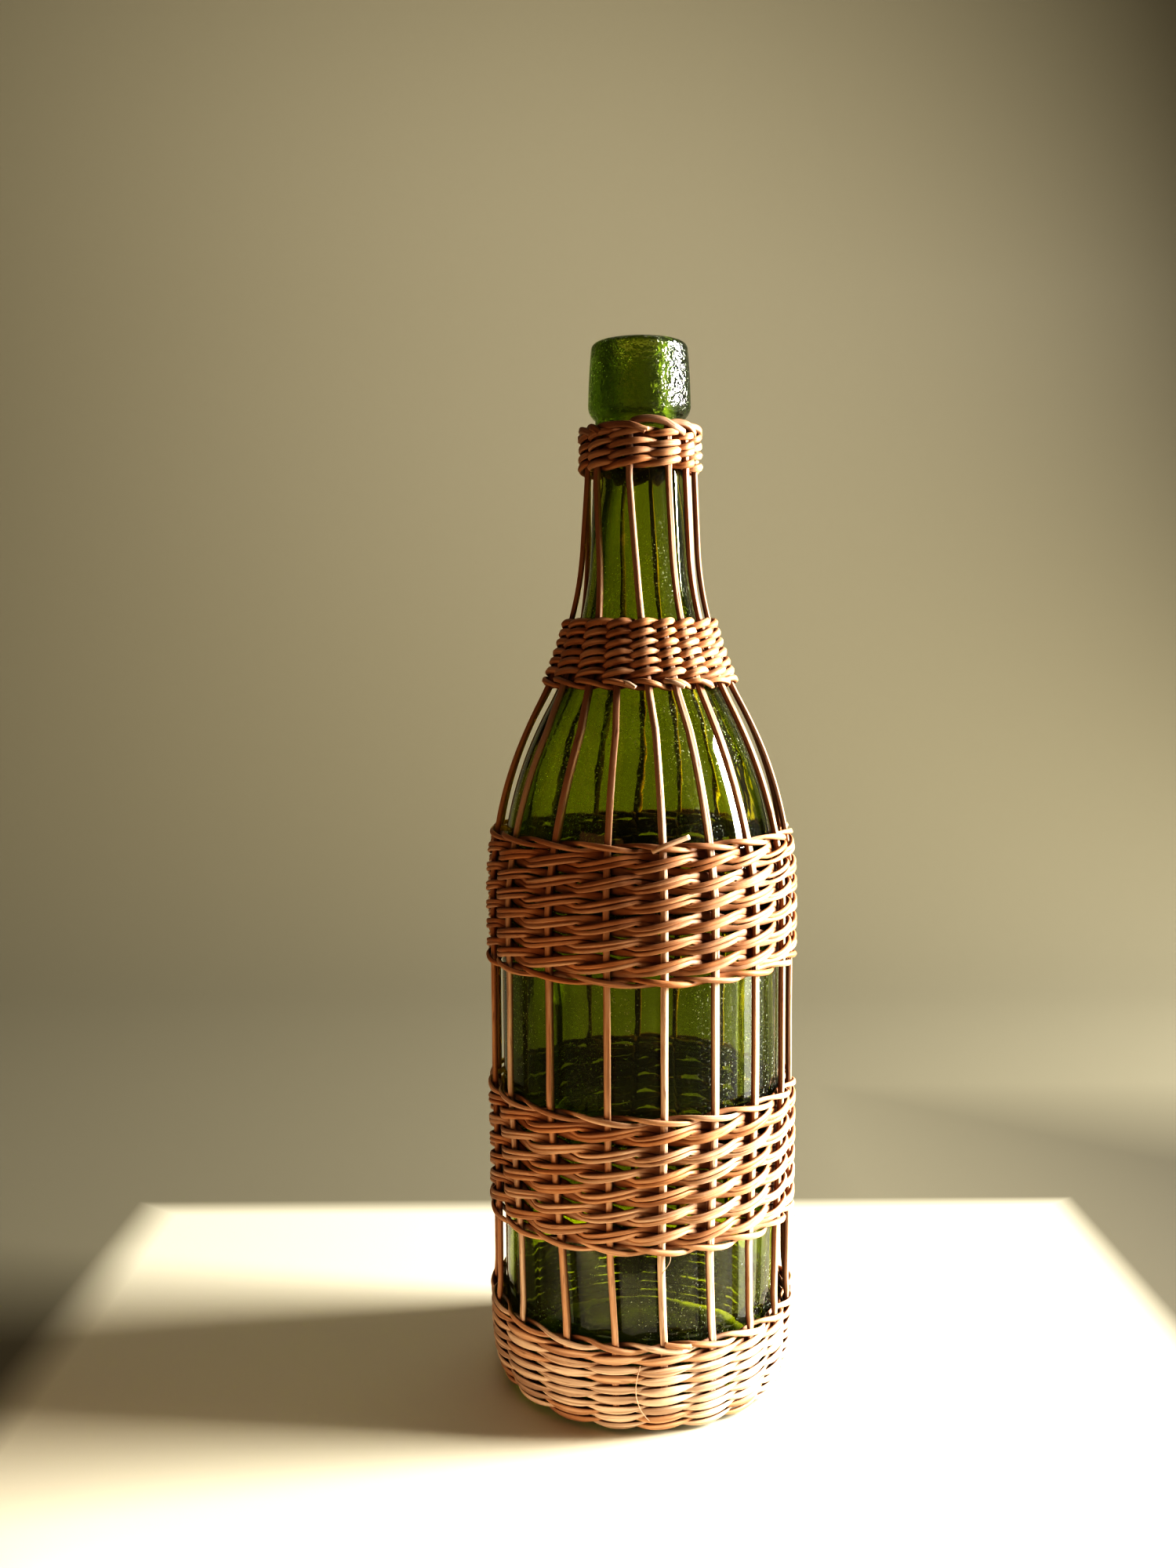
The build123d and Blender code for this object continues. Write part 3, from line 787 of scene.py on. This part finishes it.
BASE_WEAVE = Weave(2.7 * MM, 1.45 * MM, 2.7 * MM, 1.15 * MM, 0.55 * MM, press=BASE_PRESS_SHARE,
                   set_out=BASE_SET_OUT)
BASE_LOCK_WEAVE = Weave(2.0 * MM, 1.5 * MM, 1.7 * MM, 1.3 * MM, 0.95 * MM, twist=-1)
DOUBLE_WEAVE = Weave(1.55 * MM, 1.35 * MM, 2.7 * MM, 1.25 * MM, 1.5 * MM, lines=2, loose=1.3)
LOCK_WEAVE = Weave(1.8 * MM, 1.3 * MM, 1.9 * MM, 1.3 * MM, 0.85 * MM, twist=-1)
SHOULDER_WEAVE = Weave(2.2 * MM, 1.95 * MM, 2.7 * MM, 1.7 * MM, 0.85 * MM, loose=0.7)
SHOULDER_LOCK_WEAVE = Weave(1.8 * MM, 1.5 * MM, 1.9 * MM, 1.6 * MM, 0.75 * MM, twist=-1)
COLLAR_WEAVE = Weave(2.2 * MM, 1.6 * MM, 2.4 * MM, 1.6 * MM, 0.85 * MM, loose=2.0)


def ring_azimuth(azimuths, place):
    """The azimuth at a place along a ring of stakes, smoothed between them."""
    count = len(azimuths)
    k = floor(place)

    def at(n):
        return azimuths[n % count] + 360 * (n // count)

    t = place - k
    a, b, c, d = (at(k + n) for n in (-1, 0, 1, 2))
    rise, next_rise = (c - a) / 2, (d - b) / 2
    return ((2 * t**3 - 3 * t**2 + 1) * b + (t**3 - 2 * t**2 + t) * rise
            + (3 * t**2 - 2 * t**3) * c + (t**3 - t**2) * next_rise)


# Along a row: how close to a full round a weaver comes, in stake spaces, how close a pair lies, how long a
# weaver stays at its furthest out, how straight it runs between stakes, how much thinner it is behind a
# stake, and how much painted shade it gets there
ROW_END = 0.02
PAIR_SPACING_SHARE = 0.97
DWELL_SHARE = 0.25
STRAIGHT_SHARE = 0.6
THINNER_SHARE = 0.4
HIDDEN_SHADE_SHARE = 0.45


def weave_row(bm, cover, level, azimuths, weave, row_seed):
    """The two weavers of a row, or its two pairs, twisted round the stakes."""
    cane = cover.cane
    count = len(azimuths)
    back = count * 2 // 3
    reach = (cane.stake_depth / 2 + weave.deep / 2 + cane.gap) * weave.press
    for strand in (0, 1):
        for line in range(weave.lines):
            seed = row_seed * SEEDS_PER_ROW + strand * SEEDS_PER_STRAND + line
            beside = (line - (weave.lines - 1) / 2) * PAIR_SPACING_SHARE
            places, wide, deep, shown = [], [], [], []
            for step in range(count * STEPS_PER_STAKE + 1):
                t = min(max(step / STEPS_PER_STAKE, ROW_END), count - ROW_END)
                azimuth = ring_azimuth(azimuths, back + strand + t)
                outside = -cos(pi * t)
                outside *= 1 + DWELL_SHARE - DWELL_SHARE * outside**2
                over, under = max(outside, 0.0), max(-outside, 0.0)
                width = weave.narrow + (weave.wide - weave.narrow) * over
                width += (weave.inner - weave.narrow) * under
                lift = weave.lift * (1 + LIFT_STRAY_SHARE * waver(t * 0.9, seed * 1.7, 2.5))
                slant = blend_between(sin(pi * t), asin(sin(pi * t)) * 2 / pi, STRAIGHT_SHARE)
                up = -weave.twist * lift * slant
                up += beside * width * (1 + PAIR_STRAY_SHARE * waver(t * 0.7, seed * 2.9, 7.5))
                up += weave.loose * WEAVER_STRAY * waver(t * 0.8, seed * 0.9, 4.5)
                up += weave.loose * ROW_STRAY * waver(azimuth * 0.02, row_seed * 1.3, 6.5)
                out = outside * reach + weave.set_out
                out += OUTWARD_STRAY * waver(t * 1.3, seed * 4.1, 9.5)
                places.append(cover.place(level, azimuth, out, up))
                swell = 1 + WEAVER_SWELL_SHARE * waver(t * 0.6, seed * 3.3, 3.5)
                wide.append(width / 2 * swell)
                deep.append(weave.deep / 2 * (1 - THINNER_SHARE * under))
                # Behind a stake the weaver gets painted shade.
                shown.append(1 - HIDDEN_SHADE_SHARE * under)
            lay_cane(bm, places, wide, deep, WEAVER_SEED + seed, shown=shown)


# Painted shade: the bands are paler near the foot and darker higher up the bottle.
BAND_FINISHES = {
    "base": PALEST_CANE,
    "lower": HALF_SHADED_CANE,
    "upper": SHADED_CANE,
    "shoulder": SHADED_CANE,
    "collar": SHADED_CANE,
}


def weave_band(name, cover, levels, kinds, numbers):
    """Each row of a band as its own piece, from the lowest up."""
    first_seed = list(BAND_FINISHES).index(name) * SEEDS_PER_BAND
    for number, (level, weave) in enumerate(zip(levels, kinds), start=1):
        azimuths = [cover.stake_azimuth(n, level) for n in numbers]
        bm = new_cane_mesh()
        weave_row(bm, cover, level, azimuths, weave, first_seed + number)
        finish = cane_finish(*BAND_FINISHES[name])
        make_piece(f"{name}_round_{number}", bm, finish, "weaver_cane", f"{name}_row_{number}")


def body_band_levels(level):
    """Heights of a body band's rows: a lock row, the double rows and another lock row."""
    first = level + LOCK_ROW_PITCH
    middle = [first + DOUBLE_ROW_PITCH * k for k in range(DOUBLE_ROWS)]
    return [level] + middle + [middle[-1] + LOCK_ROW_PITCH]


BODY_BAND_KINDS = [LOCK_WEAVE] + [DOUBLE_WEAVE] * DOUBLE_ROWS + [LOCK_WEAVE]


class BOTTLE_OT_base_band(bpy.types.Operator):
    """Weave the close band round the heel"""

    bl_idname = "wicker.base_band"
    bl_label = "Base band"

    def execute(self, context):
        cover = Cover(context.scene)
        levels = cover.climb(BASE_BAND_LEVEL, BASE_ROW_PITCH, BASE_ROWS)
        kinds = [BASE_WEAVE] * (BASE_ROWS - 1) + [BASE_LOCK_WEAVE]
        weave_band("base", cover, levels, kinds, range(STAKE_COUNT))
        return {"FINISHED"}


class BOTTLE_OT_body_bands(bpy.types.Operator):
    """Weave the two open bands of doubled canes round the body"""

    bl_idname = "wicker.body_bands"
    bl_label = "Body bands"

    def execute(self, context):
        cover = Cover(context.scene)
        for name, level in (("lower", LOWER_BAND_LEVEL), ("upper", UPPER_BAND_LEVEL)):
            weave_band(name, cover, body_band_levels(level), BODY_BAND_KINDS, range(STAKE_COUNT))
        return {"FINISHED"}


class BOTTLE_OT_shoulder_band(bpy.types.Operator):
    """Weave the rope-like band at the foot of the neck"""

    bl_idname = "wicker.shoulder_band"
    bl_label = "Shoulder band"

    def execute(self, context):
        cover = Cover(context.scene)
        levels = cover.climb(SHOULDER_BAND_LEVEL, SHOULDER_ROW_PITCH, SHOULDER_ROWS)
        kinds = [SHOULDER_LOCK_WEAVE] + [SHOULDER_WEAVE] * (SHOULDER_ROWS - 1)
        weave_band("shoulder", cover, levels, kinds, range(STAKE_COUNT))
        return {"FINISHED"}


class BOTTLE_OT_collar(bpy.types.Operator):
    """Weave the collar under the lip"""

    bl_idname = "wicker.collar"
    bl_label = "Collar"

    def execute(self, context):
        cover = Cover(context.scene)
        levels = cover.climb(COLLAR_LEVEL, COLLAR_ROW_PITCH, COLLAR_ROWS)
        weave_band("collar", cover, levels, [COLLAR_WEAVE] * COLLAR_ROWS, NECK_STAKES)
        return {"FINISHED"}


FLATNESS_SHARE = 0.85
# Cut ends of weavers and loose fibres, in millimetres and degrees: half width, then stops of height,
# azimuth and how far out
LOOSE_ENDS = {
    "cut_end_upper": (0.75, ((171.6, 2.0, 1.2), (173.2, 6.5, 2.2), (175.4, 15.0, 2.4))),
    "cut_end_shoulder_1": (0.7, ((218.6, -13.5, 1.0), (217.6, -8.5, 1.9), (216.2, -4.5, 2.1))),
    "cut_end_shoulder_2": (0.75, ((218.8, 12.0, 1.0), (217.8, 17.0, 2.0), (216.3, 22.5, 2.2))),
    "cut_end_shoulder_3": (0.75, ((218.9, 30.0, 1.0), (217.9, 35.5, 2.0), (216.3, 41.0, 2.2))),
    "cut_end_collar": (0.65, ((293.6, -22.0, 1.0), (293.0, -8.0, 2.0), (292.0, 6.0, 1.9))),
    "cut_end_base": (0.8, ((29.0, 6.0, 1.2), (28.6, 11.0, 2.1), (28.2, 15.0, 2.0))),
    "fibre_base": (0.13, ((23.2, -2.6, 1.9), (19.0, -3.8, 2.6), (14.8, -4.0, 2.7), (10.2, -2.4, 2.6),
                          (6.4, 0.6, 2.2))),
    "fibre_right": (0.1, ((60.5, 66.0, 1.7), (58.0, 66.5, 3.0), (55.5, 66.0, 4.8), (52.0, 65.5, 6.8))),
    "fibre_lower": (0.11, ((56.0, 8.0, 1.6), (53.5, 7.6, 1.6), (50.0, 5.0, 1.2))),
}


class BOTTLE_OT_loose_ends(bpy.types.Operator):
    """Add the cut ends of weavers and the fibres that stand off the cover"""

    bl_idname = "wicker.loose_ends"
    bl_label = "Cut ends and fibres"

    def execute(self, context):
        cover = Cover(context.scene)
        for k, (name, (half, stops)) in enumerate(LOOSE_ENDS.items()):
            run = smooth_run(stops, LOOSE_END_STEPS)
            places = [cover.place(level * MM, azimuth, out * MM) for level, azimuth, out in run]
            wide = [half * MM] * len(places)
            deep = [half * MM * FLATNESS_SHARE] * len(places)
            bm = new_cane_mesh()
            lay_cane(bm, places, wide, deep, LOOSE_END_SEED + k)
            make_piece(name, bm, cane_finish(*PALEST_CANE), "weaver_cane")
        return {"FINISHED"}


# The photograph's height and focal length in pixels, and its camera: the sensor's height in millimetres,
# the place, and how far it looks down and leans, in degrees
PHOTO_HEIGHT = 2000
FOCAL_PIXELS = 1850
SENSOR = 24.0
CAMERA_PLACE = (-16.0 * MM, -447.8 * MM, 227.3 * MM)
CAMERA_PITCH = 5.171
CAMERA_ROLL = 0.33

# The stage, in metres: a floor that curves up into a backdrop
FLOOR_HALF = 1.0
FLOOR_FRONT = 1.5
FLOOR_BACK = 0.5
COVE_ROUND = 0.6
COVE_STEPS = 16
WALL_TOP = 1.6
# The pale patch round the bottle ends softly, between these two places on each side.
PALE_FRONT = (-0.13, -0.17)
PALE_BACK = (0.125, 0.140)
PALE_LEFT = (-0.185, -0.205)
PALE_RIGHT = (0.165, 0.185)
# Beyond it, the floor gets darker towards the main light, and the backdrop's colour begins further back.
DARK_RIGHT = (0.10, 0.30)
DARK_BACK = (0.30, 0.13)
BACKDROP_START = 0.3
# What the lights face: points up the bottle's axis and one on the backdrop
FOOT_TARGET = (0, 0, 0.02)
HEEL_TARGET = (0, 0, 0.05)
LOW_TARGET = (0, 0, 0.1)
MIDDLE_TARGET = (0, 0, cad_box[1].z / 2)
BACKDROP_TARGET = (-0.3, 1.1, 0.4)


def stage_finish():
    """Plain paint: pale round the bottle, and darker beyond it and up the backdrop."""
    colours = bpy.context.scene.wicker_finish
    material, tree, output = new_material("stage_paint")
    own = shader(tree, "TexCoord").outputs["Object"]
    place = shader(tree, "SeparateXYZ", {0: own}).outputs
    back = place["Y"]
    ahead = spread(tree, back, *PALE_FRONT)
    share = sum_of(tree, "MAXIMUM", ahead, spread(tree, back, *PALE_BACK))
    share = sum_of(tree, "MAXIMUM", share, spread(tree, place["X"], *PALE_LEFT))
    share = sum_of(tree, "MAXIMUM", share, spread(tree, place["X"], *PALE_RIGHT))
    run = {"Value": back, "From Min": BACKDROP_START, "From Max": FLOOR_BACK + COVE_ROUND}
    rise = shader(tree, "MapRange", run, interpolation_type="SMOOTHERSTEP").outputs["Result"]
    aside = sum_of(tree, "MINIMUM", spread(tree, place["X"], *DARK_RIGHT), spread(tree, back, *DARK_BACK))
    far = mixed(tree, aside, colours.floor_far, colours.floor_side)
    paint = mixed(tree, share, colours.floor, mixed(tree, rise, far, colours.backdrop))
    body = shader(tree, "BsdfPrincipled", {"Base Color": paint})
    body.inputs["Roughness"].default_value = 0.6
    tree.links.new(body.outputs["BSDF"], output.inputs["Surface"])
    return material


def add_light(name, place, target, size, energy, colour, fan=180, mirrored=True):
    """A rectangular soft light that faces a point; fan is how widely it spreads, in degrees.

    It never shows through the glass, and as a reflection in it only when mirrored.
    """
    data = bpy.data.lights.new(name, "AREA")
    data.shape = "RECTANGLE"
    data.size, data.size_y = size
    data.energy = energy
    data.color = colour
    data.spread = radians(fan)
    lamp = bpy.data.objects.new(name, data)
    lamp.location = place
    lamp.rotation_euler = (Vector(target) - Vector(place)).to_track_quat("-Z", "Y").to_euler()
    lamp.visible_glossy = mirrored
    lamp.visible_transmission = False
    bpy.context.scene.collection.objects.link(lamp)


def grown_edge(bm, edges, way):
    """Extrudes edges and moves the new ones, and returns those with their ends."""
    grown = bmesh.ops.extrude_edge_only(bm, edges=edges)["geom"]
    ends = [v for v in grown if isinstance(v, bmesh.types.BMVert)]
    bmesh.ops.translate(bm, verts=ends, vec=way)
    return [e for e in grown if isinstance(e, bmesh.types.BMEdge)] + ends


def lay_floor():
    """The floor, its cove and the backdrop, as one sheet."""
    bm = bmesh.new()
    front = bm.edges.new([bm.verts.new((x, -FLOOR_FRONT, 0)) for x in (-FLOOR_HALF, FLOOR_HALF)])
    back = grown_edge(bm, [front], (0, FLOOR_FRONT + FLOOR_BACK, 0))
    turned = bmesh.ops.spin(bm, geom=back, axis=(1, 0, 0), cent=(0, FLOOR_BACK, COVE_ROUND),
                            steps=COVE_STEPS, angle=pi / 2)["geom_last"]
    cove_top = [e for e in turned if isinstance(e, bmesh.types.BMEdge)]
    grown_edge(bm, cove_top, (0, 0, WALL_TOP - COVE_ROUND))
    bmesh.ops.recalc_face_normals(bm, faces=bm.faces)
    for face in bm.faces:
        face.smooth = True
    mesh = bpy.data.meshes.new("floor")
    bm.to_mesh(mesh)
    bm.free()
    mesh.materials.append(stage_finish())
    floor_sheet = bpy.data.objects.new("floor", mesh)
    bpy.context.scene.collection.objects.link(floor_sheet)


def light_stage(scene):
    """A strong soft light on the right, weak warm ones in front, and one for the backdrop.

    Places and sizes are in metres, and powers in watts.
    """
    add_light("key", (1.1, 0.02, 0.42), MIDDLE_TARGET, (0.4, 0.75), 39, (1.0, 0.985, 0.96), fan=150)
    add_light("fill", (-0.7, -1.0, 0.25), HEEL_TARGET, (0.8, 0.4), 0.9, (1.0, 0.52, 0.22))
    add_light("low_card", (-0.03, -0.15, 0.014), FOOT_TARGET, (0.26, 0.026), 0.05, (1.0, 1.0, 0.94),
              mirrored=False)
    add_light("high_card", (-0.17, -0.25, 0.05), LOW_TARGET, (0.3, 0.1), 0.15, (1.0, 0.60, 0.30),
              mirrored=False)
    add_light("top", (0.1, 0.3, 1.3), MIDDLE_TARGET, (0.9, 0.9), 0.9, (1.0, 0.86, 0.68))
    add_light("backdrop_light", (-0.2, 0.3, 0.95), BACKDROP_TARGET, (1.0, 0.3), 4.1, (1.0, 0.96, 0.88))
    world = bpy.data.worlds.new("studio")
    world.use_nodes = True
    background = world.node_tree.nodes["Background"].inputs
    background["Color"].default_value = (0.60, 0.58, 0.52, 1.0)
    background["Strength"].default_value = 0.04
    scene.world = world
    scene.view_settings.view_transform = "Standard"
    scene.view_settings.look = "Very High Contrast"


def set_camera(scene):
    """The camera at the photograph's viewing angle."""
    data = bpy.data.cameras.new("camera")
    data.sensor_fit = "VERTICAL"
    data.sensor_height = SENSOR
    data.lens = SENSOR * FOCAL_PIXELS / PHOTO_HEIGHT
    data.clip_start = 10 * MM
    camera = bpy.data.objects.new("camera", data)
    camera.location = CAMERA_PLACE
    camera.rotation_euler = (radians(90 - CAMERA_PITCH), radians(CAMERA_ROLL), 0)
    scene.collection.objects.link(camera)
    scene.camera = camera


class BOTTLE_OT_stage(bpy.types.Operator):
    """Lay the pale floor with its backdrop, and set the lights and the camera"""

    bl_idname = "wicker.stage"
    bl_label = "Stage"

    def execute(self, context):
        lay_floor()
        light_stage(context.scene)
        set_camera(context.scene)
        return {"FINISHED"}


OPERATORS = (
    BOTTLE_OT_stage,
    BOTTLE_OT_glass,
    BOTTLE_OT_stakes,
    BOTTLE_OT_base_band,
    BOTTLE_OT_body_bands,
    BOTTLE_OT_shoulder_band,
    BOTTLE_OT_collar,
    BOTTLE_OT_loose_ends,
)


class BOTTLE_PT_panel(bpy.types.Panel):
    """The bottle's pieces in the sidebar"""

    bl_idname = "BOTTLE_PT_panel"
    bl_label = "Wicker bottle"
    bl_space_type = "VIEW_3D"
    bl_region_type = "UI"
    bl_category = "Wicker bottle"

    def draw(self, context):
        for operator in OPERATORS:
            self.layout.operator(operator.bl_idname)


GROUPS = {"wicker_bottle": BottleSizes, "wicker_cane": CaneSizes, "wicker_finish": FinishColours}


def register():
    """Adds the sizes and colours to the scene, and the operators and the panel to Blender."""
    for group_name, group in GROUPS.items():
        bpy.utils.register_class(group)
        setattr(bpy.types.Scene, group_name, PointerProperty(type=group))
    for operator in OPERATORS:
        bpy.utils.register_class(operator)
    bpy.utils.register_class(BOTTLE_PT_panel)


def unregister():
    """Takes out what register put in."""
    bpy.utils.unregister_class(BOTTLE_PT_panel)
    for operator in reversed(OPERATORS):
        bpy.utils.unregister_class(operator)
    for group_name, group in GROUPS.items():
        delattr(bpy.types.Scene, group_name)
        bpy.utils.unregister_class(group)


def main():
    """Builds the whole bottle."""
    register()
    for operator in OPERATORS:
        group, call = operator.bl_idname.split(".")
        getattr(getattr(bpy.ops, group), call)()


if __name__ == "__main__":
    main()
